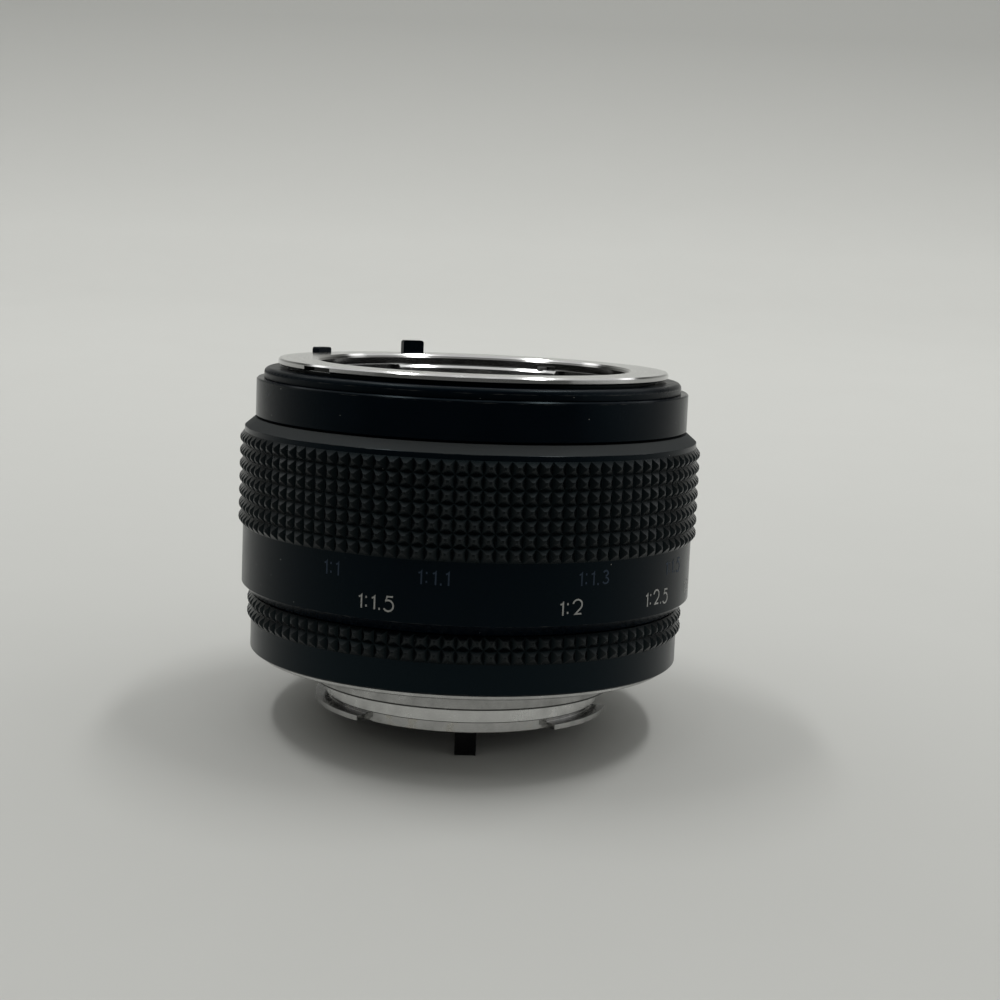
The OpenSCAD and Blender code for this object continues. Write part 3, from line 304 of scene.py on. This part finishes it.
def grip(name, body, inside_r, valley_r, tip_r, base_z, rows, count):
    step = 2 * math.pi / count
    half = valley_r * math.sin(step / 2)
    across = valley_r * math.cos(step / 2)
    shape = bmesh.new()
    foot = [shape.verts.new((across * MM, side * half * MM, base_z * MM)) for side in (-1, 1)]
    edge = [shape.edges.new(foot)]
    for _ in range(rows):
        made = bmesh.ops.extrude_edge_only(shape, edges=edge)["geom"]
        bmesh.ops.translate(shape, verts=verts_of(made), vec=(0, 0, PITCH * MM))
        edge = [e for e in made if isinstance(e, bmesh.types.BMEdge) and len({v.co.z for v in e.verts}) == 1]
    bmesh.ops.recalc_face_normals(shape, faces=shape.faces[:])
    if shape.faces[0].normal.x < 0:
        bmesh.ops.reverse_faces(shape, faces=shape.faces[:])
    tiles = shape.faces[:]
    rise = tip_r - across
    for inset, lift in PYRAMID_STEPS:
        bmesh.ops.inset_individual(shape, faces=tiles, thickness=inset * MM, depth=lift * rise * MM,
                                   use_even_offset=True)
    bmesh.ops.rotate(shape, verts=shape.verts[:], cent=(0, 0, 0), matrix=Matrix.Rotation(step / 2, 3, "Z"))
    tile = shape.verts[:] + shape.edges[:] + shape.faces[:]
    bmesh.ops.spin(shape, geom=tile, cent=(0, 0, 0), axis=(0, 0, 1), angle=2 * math.pi, steps=count,
                   use_duplicate=True)
    bmesh.ops.remove_doubles(shape, verts=shape.verts[:], dist=WELD * MM)
    rims = [e for e in shape.edges if e.is_boundary]
    inner = bmesh.ops.extrude_edge_only(shape, edges=rims)["geom"]
    shrink = inside_r / valley_r
    bmesh.ops.scale(shape, verts=verts_of(inner), vec=(shrink, shrink, 1))
    bmesh.ops.bridge_loops(shape, edges=[e for e in shape.edges if e.is_boundary])
    bmesh.ops.recalc_face_normals(shape, faces=shape.faces[:])
    data = bpy.data.meshes.new(name)
    shape.to_mesh(data)
    shape.free()
    data.materials.append(rubber)
    piece = bpy.data.objects.new(name, data)
    bpy.context.scene.collection.objects.link(piece)
    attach(piece, body)
    return piece


rear_sleeve = grip("rear_grip_rubber", "rear", inside_r=34.33, valley_r=REAR_VALLEY_R, tip_r=REAR_TIP_R,
                   base_z=9.35, rows=2, count=106)
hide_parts("rear_grip")


# Matt black inside pieces: baffles, the rings between the elements and the lens cell.
# Blackened so that no stray light gets through, with a dusty tone on their flat tops.
BLACKING_DARK = (0.004, 0.004, 0.0045)
BLACKING_DUSTY = (0.011, 0.011, 0.012)
matt_black, tree, surface = finish("matt_black", (0.006, 0.006, 0.0065), 0.7, specular=0.2)
touch = place(tree, handled, smudge_size=5.0, grain_size=0.12)
color = shade(tree, touch["Smudge"], BLACKING_DARK, BLACKING_DUSTY)
tree.links.new(shade(tree, touch["Dust"], color, DUST), surface["Base Color"])
tree.links.new(spread(tree, touch["Grain"], 0.6, 0.8), surface["Roughness"])
relief(tree, surface, touch["Grain"], depth=0.02, strength=0.5)
dress(matt_black, "rear_baffle", "front_baffle", "lens_spacers", "lens_retainer", "lens_cell")


# Glass: seven coated elements, stacked in the cell between spacers and held by its retaining ring.
# The coating leaves a magenta tint on the outer faces and an amber one on the inner pairs.
MAGENTA_FILM_NM = 135.0
AMBER_FILM_NM = 100.0


def coated(name, film_nm):
    material, tree, surface = finish(name, (0.96, 0.98, 1.0), 0.0)
    surface["Transmission Weight"].default_value = 1.0
    surface["IOR"].default_value = 1.62
    surface["Thin Film Thickness"].default_value = film_nm
    surface["Thin Film IOR"].default_value = 1.38
    touch = place(tree, handled, smudge_size=7.0, grain_size=0.3)
    tree.links.new(spread(tree, touch["Smudge"], 0.0, 0.03, 0.55, 0.8), surface["Roughness"])
    return material


dress(coated("magenta_coating", MAGENTA_FILM_NM), "lens_rear", "lens_front", "lens_2", "lens_6")
dress(coated("amber_coating", AMBER_FILM_NM), "lens_3", "lens_4", "lens_5")


# Stop-down lever: the flat black tongue below the mount that the camera pushes, on a ring round the cell.
# Steel with a black oxide skin, rubbed at its tip.
OXIDE = (0.002, 0.0023, 0.0026)
OXIDE_RUBBED = (0.2, 0.2, 0.2)
RUBBED_LOW_Z, RUBBED_HIGH_Z = -8.1, -7.5
lever_black, tree, surface = finish("black_oxide", OXIDE, 0.42, specular=0.12)
touch = place(tree, handled, smudge_size=3.0, grain_size=0.1)
tip = sum_of(tree, "ADD", place(tree, turned)["Height"], touch["Smudge"])
rubbed = spread(tree, tip, 0.1, 0.0, RUBBED_LOW_Z, RUBBED_HIGH_Z)
tree.links.new(shade(tree, rubbed, OXIDE, OXIDE_RUBBED), surface["Base Color"])
tree.links.new(spread(tree, touch["Smudge"], 0.34, 0.5), surface["Roughness"])
relief(tree, surface, touch["Grain"], depth=0.012, strength=0.4)
dress(lever_black, "stop_down_lever")


# Springs: leaves under the claws, the leaf of the release, and the wire wound round the lens cell that
# brings the lever back. Tempered strip and wire, brighter and smoother than the screws.
SPRING_DARK = (0.5, 0.5, 0.53)
SPRING_LIGHT = (0.68, 0.68, 0.67)
spring_steel, tree, surface = finish("spring_steel", (0.6, 0.6, 0.61), 0.22, metallic=1.0)
touch = place(tree, handled, smudge_size=1.5, grain_size=0.08)
tree.links.new(shade(tree, touch["Smudge"], SPRING_DARK, SPRING_LIGHT), surface["Base Color"])
tree.links.new(spread(tree, touch["Grain"], 0.16, 0.3), surface["Roughness"])
dress(spring_steel, "bayonet_springs", "release_spring")

COIL_R, COIL_Z, COIL_RISE, COIL_TURNS = 17.45, 10.55, 0.85, 3
WIRE_R, WIRE_SIDES = 0.3, 12
COIL_STEPS = 64 * COIL_TURNS
wire = bmesh.new()
bmesh.ops.create_circle(wire, cap_ends=True, segments=WIRE_SIDES, radius=WIRE_R * MM)
bmesh.ops.rotate(wire, verts=wire.verts[:], cent=(0, 0, 0), matrix=Matrix.Rotation(math.pi / 2, 3, "X"))
bmesh.ops.translate(wire, verts=wire.verts[:], vec=(COIL_R * MM, 0, COIL_Z * MM))
bmesh.ops.spin(wire, geom=wire.faces[:] + wire.edges[:] + wire.verts[:], cent=(0, 0, 0), axis=(0, 0, 1),
               dvec=(0, 0, COIL_RISE * COIL_TURNS * MM / COIL_STEPS), angle=2 * math.pi * COIL_TURNS,
               steps=COIL_STEPS)
bmesh.ops.recalc_face_normals(wire, faces=wire.faces[:])
coil_data = bpy.data.meshes.new("return_spring_wire")
wire.to_mesh(coil_data)
wire.free()
for face in coil_data.polygons:
    face.use_smooth = len(face.vertices) == 4
coil_data.materials.append(spring_steel)
coil = bpy.data.objects.new("return_spring_wire", coil_data)
bpy.context.scene.collection.objects.link(coil)
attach(coil, "rear")
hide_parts("stop_down_spring")


# Brass: the arcs that hold the focusing ring down and the key that guides the front barrel.
# Machined and lightly greased, so it is dull in places.
BRASS_DULL = (0.36, 0.25, 0.09)
BRASS_BRIGHT = (0.62, 0.46, 0.2)
brass, tree, surface = finish("machined_brass", (0.52, 0.38, 0.15), 0.3, metallic=1.0)
touch = place(tree, handled, smudge_size=3.0, grain_size=0.1)
tree.links.new(shade(tree, touch["Smudge"], BRASS_DULL, BRASS_BRIGHT), surface["Base Color"])
tree.links.new(spread(tree, touch["Grain"], 0.24, 0.4), surface["Roughness"])
relief(tree, surface, touch["Grain"], depth=0.008, strength=0.5)
dress(brass, "focus_ring_retainer", "guide_key")


# Focusing ring: the sleeve that the hand turns, with a scale band below its grip and a rougher chamfer on
# top, painted lighter as a painted sheen.
# The same anodised aluminium, rubbed on the shoulder's edges and the foot, under a seven-row rubber grip.
BAND_R = 36.41
FOCUS_EDGES = [(36.46, 40.38), (34.81, 41.78), (BAND_R, 15.39)]
CHAMFER_FOOT_Z, CHAMFER_TOP_Z = 40.42, 41.9
CHAMFER_SHEEN = (0.04, 0.042, 0.042)
CHAMFER_DULLER = 0.4
focus_black, tree, surface, _ = anodised("focus_anodised", FOCUS_EDGES, specular=0.085)
# The chamfer is made rougher, and its colour is lighter as a painted sheen of the light above
chamfer = between(tree, place(tree, turned)["Height"], CHAMFER_FOOT_Z, CHAMFER_TOP_Z)
ring_tone = surface["Base Color"].links[0].from_socket
tree.links.new(shade(tree, chamfer, ring_tone, CHAMFER_SHEEN), surface["Base Color"])
ring_gloss = surface["Roughness"].links[0].from_socket
chamfer_gloss = sum_of(tree, "ADD", ring_gloss, sum_of(tree, "MULTIPLY", chamfer, CHAMFER_DULLER))
tree.links.new(chamfer_gloss, surface["Roughness"])
dress(focus_black, "focus_ring")
focus_sleeve = grip("focus_grip_rubber", "focus", inside_r=35.96, valley_r=FOCUS_VALLEY_R, tip_r=FOCUS_TIP_R,
                    base_z=24.74, rows=7, count=112)
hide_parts("focus_grip")


# Scale: magnifications painted into engraved figures on the band, in two rows. The upper row is dull blue
# and the lower one grey-white. Both run on round the barrel, and the rear barrel carries the index line.
WHITE_WORN = (0.2, 0.2, 0.19)
WHITE_FRESH = (0.5, 0.5, 0.48)
BLUE_WORN = (0.016, 0.026, 0.042)
BLUE_FRESH = (0.04, 0.056, 0.082)
white_paint, tree, surface = finish("scale_white", (0.4, 0.4, 0.38), 0.6, specular=0.2)
touch = place(tree, handled, smudge_size=0.7, grain_size=0.08)
tree.links.new(shade(tree, touch["Smudge"], WHITE_WORN, WHITE_FRESH), surface["Base Color"])
blue_paint, tree, surface = finish("scale_blue", (0.012, 0.02, 0.034), 0.6, specular=0.1)
touch = place(tree, handled, smudge_size=0.7, grain_size=0.08)
tree.links.new(shade(tree, touch["Smudge"], BLUE_WORN, BLUE_FRESH), surface["Base Color"])

BOW_POINTS = 10


def bow(cx, cy, wide, tall, start, end):
    turns = [math.radians(start + (end - start) * i / (BOW_POINTS - 1)) for i in range(BOW_POINTS)]
    return [(cx + wide * math.cos(t), cy + tall * math.sin(t)) for t in turns]


# Width of each figure and the strokes that draw it, as shares of the figures' height
FIGURES = {
    "1": (0.3, [[(0.02, 0.77), (0.15, 0.82), (0.27, 0.95), (0.27, 0.04)]]),
    "2": (0.68, [bow(0.34, 0.68, 0.27, 0.27, 170, -38) + [(0.08, 0.06), (0.63, 0.06)]]),
    "3": (0.66, [bow(0.33, 0.74, 0.23, 0.21, 155, -90), bow(0.335, 0.285, 0.27, 0.24, 90, -155)]),
    "4": (0.68, [[(0.64, 0.28), (0.05, 0.28), (0.48, 0.94), (0.48, 0.05)]]),
    "5": (0.66, [[(0.62, 0.95), (0.21, 0.95), (0.13, 0.53)] + bow(0.33, 0.34, 0.28, 0.29, 125, -150)]),
    "0": (0.68, [bow(0.34, 0.5, 0.27, 0.45, 90, 450)]),
    ":": (0.14, [[(0.07, 0.14), (0.07, 0.27)], [(0.07, 0.68), (0.07, 0.81)]]),
    ".": (0.14, [[(0.07, 0.03), (0.07, 0.16)]]),
    "|": (0.1, [[(0.05, 0.0), (0.05, 1.0)]]),
    "~": (0.9, [bow(0.24, 0.5, 0.2, 0.22, 30, 330) + bow(0.68, 0.5, 0.2, 0.22, -150, 150) + [(0.41, 0.61)]]),
}
FIGURE_H = 2.4
FIGURE_GAP, POINT_GAP = 0.22, 0.13
STROKE, STROKE_WELD = 0.24, 0.001
PAINT_DEPTH = 0.1
PAINT_LIFT = 0.012


def paint(name, words, bearing_deg, height, radius, material, body):
    shape = bmesh.new()
    reach = 0.0
    for mark in words:
        wide, strokes = FIGURES[mark]
        for path in strokes:
            places = [((reach + x) * FIGURE_H * MM, 0, (y - 0.5) * FIGURE_H * MM) for x, y in path]
            points = [shape.verts.new(corner) for corner in places]
            line = [shape.edges.new(pair) for pair in zip(points, points[1:])]
            ribbon = bmesh.ops.extrude_edge_only(shape, edges=line)["geom"]
            bmesh.ops.translate(shape, verts=verts_of(ribbon), vec=(0, PAINT_DEPTH * MM, 0))
        reach += wide + (POINT_GAP if mark == "." else FIGURE_GAP)
    bmesh.ops.remove_doubles(shape, verts=shape.verts[:], dist=STROKE_WELD * MM)
    bmesh.ops.recalc_face_normals(shape, faces=shape.faces[:])
    bmesh.ops.solidify(shape, geom=shape.faces[:], thickness=STROKE * MM)
    middle = (max(v.co.x for v in shape.verts) + min(v.co.x for v in shape.verts)) / 2
    for vert in shape.verts:
        turn = math.radians(bearing_deg) + (vert.co.x - middle) / (radius * MM)
        out = (radius + PAINT_LIFT) * MM - vert.co.y
        vert.co = Vector((out * math.sin(turn), -out * math.cos(turn), height * MM + vert.co.z))
    bmesh.ops.recalc_face_normals(shape, faces=shape.faces[:])
    if shape.calc_volume(signed=True) < 0:
        bmesh.ops.reverse_faces(shape, faces=shape.faces[:])
    data = bpy.data.meshes.new(name)
    shape.to_mesh(data)
    shape.free()
    data.materials.append(material)
    piece = bpy.data.objects.new(name, data)
    bpy.context.scene.collection.objects.link(piece)
    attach(piece, body)


# Bearing of each number, in degrees to the right from the front
WHITE_ROW = {"1:1.5": -20.7, "1:2": 25.6, "1:2.5": 54.1, "1:3": 75.0,
             "1:4": 100.0, "1:5": 115.0, "1:10": 145.0, "~": 176.0}
BLUE_ROW = {"1:1": -32.8, "1:1.1": -7.2, "1:1.3": 31.5, "1:1.5": 62.0, "1:2": 112.0, "1:2.5": 142.0}
WHITE_Z, BLUE_Z = 18.05, 22.35
INDEX_DEG, INDEX_Z = 176.0, 7.0
for words, bearing_deg in WHITE_ROW.items():
    name = "scale_white_" + words.replace(":", "_").replace("~", "far")
    paint(name, words, bearing_deg, WHITE_Z, BAND_R, white_paint, "focus")
for words, bearing_deg in BLUE_ROW.items():
    name = "scale_blue_" + words.replace(":", "_")
    paint(name, words, bearing_deg, BLUE_Z, BAND_R, blue_paint, "focus")
paint("index_line", "|", INDEX_DEG, INDEX_Z, REAR_R, white_paint, "rear")


# Front barrel: the keyed tube that the helicoid drives out, ending in the bare black name ring.
# Anodised with the rest. Its skirt carries a many-start thread, and the name ring is left smooth.
FRONT_EDGES = [(34.78, 47.73), (34.43, 48.08)]
THREAD_STARTS = 20
THREAD_LEAD = 30.14
THREAD_DEPTH = 0.9
NAME_RING_FOOT_Z = 42.0
front_black, tree, surface, bump = anodised("front_anodised", FRONT_EDGES, specular=0.06)
at = place(tree, turned)
helix = sum_of(tree, "SUBTRACT", at["Turn"], sum_of(tree, "DIVIDE", at["Height"], THREAD_LEAD))
groove = sum_of(tree, "FRACT", sum_of(tree, "MULTIPLY", helix, THREAD_STARTS))
groove = sum_of(tree, "PINGPONG", groove, 0.5)
groove = sum_of(tree, "MULTIPLY", groove, sum_of(tree, "LESS_THAN", at["Height"], NAME_RING_FOOT_Z))
thread = relief(tree, surface, groove, THREAD_DEPTH)
tree.links.new(bump.outputs["Normal"], thread.inputs["Normal"])
dress(front_black, "front_barrel")


# Coupling ring and release: the turning ring with its two standing tabs, and the ribbed knob at the back.
# Painted satin black over turned metal, and rubbed along the ring's edge.
COUPLING_EDGES = [(33.58, 48.97)]
satin_black, *_ = anodised("satin_black", COUPLING_EDGES, specular=0.07, roughness=0.3)
dress(satin_black, "meter_coupling_ring", "lens_release")


# Front mount ring: the female bayonet of bright chrome that a lens seats on, with three claws below its
# ledge. Polished, with faint rings from the lathe. Its rim, the recess and the notch are painted darker, as
# painted shade and reflection.
CHROME_DULL = (0.48, 0.48, 0.475)
CHROME_CLEAN = (0.66, 0.66, 0.65)
# Low, high, inner and outer limits of the rim, the recess's wall and the notch, each with its tone of
# painted shade
SHADED_PLACES = [
    ((50.2, 51.06, 31.3, 31.6), (0.42, 0.42, 0.415)),
    ((49.62, 51.02, 24.7, 25.25), (0.2, 0.2, 0.195)),
    ((50.28, 51.04, 30.3, 31.25), (0.02, 0.02, 0.02)),
]
bright_chrome, tree, surface = finish("bright_chrome", (0.74, 0.74, 0.73), 0.14, metallic=1.0)
touch = place(tree, handled, smudge_size=7.0, grain_size=0.2)
marks = place(tree, lathe, fineness=9.0)["Marks"]
polished_and_shaded = shade(tree, touch["Smudge"], CHROME_DULL, CHROME_CLEAN)
at = place(tree, turned)
# Painted shade on the rim, the recess's wall and the notch
for limits, tone in SHADED_PLACES:
    polished_and_shaded = shade(tree, girdle(tree, at, *limits), polished_and_shaded, tone)
tree.links.new(polished_and_shaded, surface["Base Color"])
tree.links.new(spread(tree, marks, 0.08, 0.18), surface["Roughness"])
relief(tree, surface, marks, depth=0.006, strength=0.3)
dress(bright_chrome, "front_mount_ring")


# Studio: a pale paper sweep that the converter leans on, resting on its lever's tip and the lug at the back.
# A wide soft light hangs overhead, with strips and spots for the chrome and a card at each side.
LEVER_Y, LEVER_TIP_Z = -19.6, -8.42
LUG_ABOVE_TIP, TIP_TO_LUG = 4.2, 43.6
LEAN = math.atan2(LUG_ABOVE_TIP, TIP_TO_LUG)
FLOOR_HALF = 2.2
FLOOR_FRONT_Y, BEND_Y, BEND_R = -1.5, 0.55, 0.5
BEND_STEPS, BEND_STEP_DEG = 12, 6
WALL_BACK, WALL_UP = 0.5, 1.5
profile = [(FLOOR_FRONT_Y, 0.0), (BEND_Y, 0.0)]
for step in range(1, BEND_STEPS + 1):
    bend = math.radians(step * BEND_STEP_DEG)
    profile.append((BEND_Y + BEND_R * math.sin(bend), BEND_R * (1 - math.cos(bend))))
profile.append((profile[-1][0] + WALL_BACK, profile[-1][1] + WALL_UP))
floor_mesh = bmesh.new()
row = [floor_mesh.verts.new((-FLOOR_HALF, y, z)) for y, z in profile]
edges = [floor_mesh.edges.new(pair) for pair in zip(row, row[1:])]
swept = bmesh.ops.extrude_edge_only(floor_mesh, edges=edges)["geom"]
bmesh.ops.translate(floor_mesh, verts=verts_of(swept), vec=(2 * FLOOR_HALF, 0, 0))
bmesh.ops.recalc_face_normals(floor_mesh, faces=floor_mesh.faces[:])
lean = Matrix.Translation((0, LEVER_Y * MM, LEVER_TIP_Z * MM)) @ Matrix.Rotation(LEAN, 4, "X")
bmesh.ops.transform(floor_mesh, matrix=lean, verts=floor_mesh.verts[:])
sweep_data = bpy.data.meshes.new("sweep")
floor_mesh.to_mesh(sweep_data)
floor_mesh.free()
for face in sweep_data.polygons:
    face.use_smooth = True
sweep = bpy.data.objects.new("sweep", sweep_data)
bpy.context.scene.collection.objects.link(sweep)

PAPER_DARK = (0.572, 0.575, 0.548)
PAPER_LIGHT = (0.592, 0.595, 0.568)
PAPER_UPPER_SHADE = (0.405, 0.407, 0.388)
UPPER_START_Z, UPPER_END_Z = 75.0, 210.0
paper, tree, surface = finish("pale_paper", (0.6, 0.6, 0.57), 0.9, specular=0.1)
touch = place(tree, handled, smudge_size=40.0, grain_size=0.6)
pale = shade(tree, touch["Smudge"], PAPER_DARK, PAPER_LIGHT)
# Painted shade: the sweep's colour darkens with height, where less light falls
upper_shade = spread(tree, place(tree, turned)["Height"], 0.0, 1.0, UPPER_START_Z, UPPER_END_Z)
tree.links.new(shade(tree, upper_shade, pale, PAPER_UPPER_SHADE), surface["Base Color"])
sweep_data.materials.append(paper)


def softbox(name, stand, aim, wide, tall, watts):
    light = bpy.data.lights.new(name, "AREA")
    light.shape = "RECTANGLE"
    light.size = wide
    light.size_y = tall
    light.energy = watts
    lamp = bpy.data.objects.new(name, light)
    lamp.location = stand
    lamp.rotation_euler = (Vector(aim) - Vector(stand)).to_track_quat("-Z", "Y").to_euler()
    bpy.context.scene.collection.objects.link(lamp)


softbox("ceiling", (0.0, 0.12, 0.8), (0.0, 0.12, 0.0), wide=2.2, tall=1.2, watts=5.1)
softbox("left_strip", (-0.28, 0.08, 0.75), (-0.28, 0.08, 0.0), wide=0.06, tall=0.35, watts=1.2)
softbox("right_strip", (0.26, 0.08, 0.75), (0.26, 0.08, 0.0), wide=0.06, tall=0.35, watts=1.4)
softbox("left_spot", (-0.05, -0.14, 0.75), (-0.05, -0.14, 0.0), wide=0.03, tall=0.03, watts=0.07)
softbox("right_spot", (0.08, -0.14, 0.75), (0.08, -0.14, 0.0), wide=0.03, tall=0.03, watts=0.05)
softbox("backdrop_strip", (0.0, 0.5, 0.6), (0.0, 0.72, 0.0), wide=1.8, tall=0.3, watts=2.3)
softbox("left_card", (-0.85, -0.05, 0.25), (0.0, -0.05, 0.25), wide=1.0, tall=0.5, watts=0.45)
softbox("right_card", (0.85, -0.05, 0.25), (0.0, -0.05, 0.25), wide=1.0, tall=0.5, watts=1.2)

world = bpy.data.worlds.new("studio")
world.use_nodes = True
room = world.node_tree.nodes["Background"].inputs
room["Color"].default_value = (0.6, 0.605, 0.58, 1)
room["Strength"].default_value = 0.21
bpy.context.scene.world = world


# Camera: the photograph's view, from in front and a little above, with a slight roll.
# The focal length and the place were fitted to the edges of the rings.
view = bpy.data.cameras.new("view")
view.sensor_width = 36.0
view.lens = 66.13
view.clip_start = 0.01
camera = bpy.data.objects.new("view", view)
camera.location = (0.0, -297.6 * MM, 68.3 * MM)
camera.rotation_euler = (math.radians(82.523), math.radians(-2.39), math.radians(-0.677))
bpy.context.scene.collection.objects.link(camera)
bpy.context.scene.camera = camera
bpy.context.scene.view_settings.view_transform = "Standard"
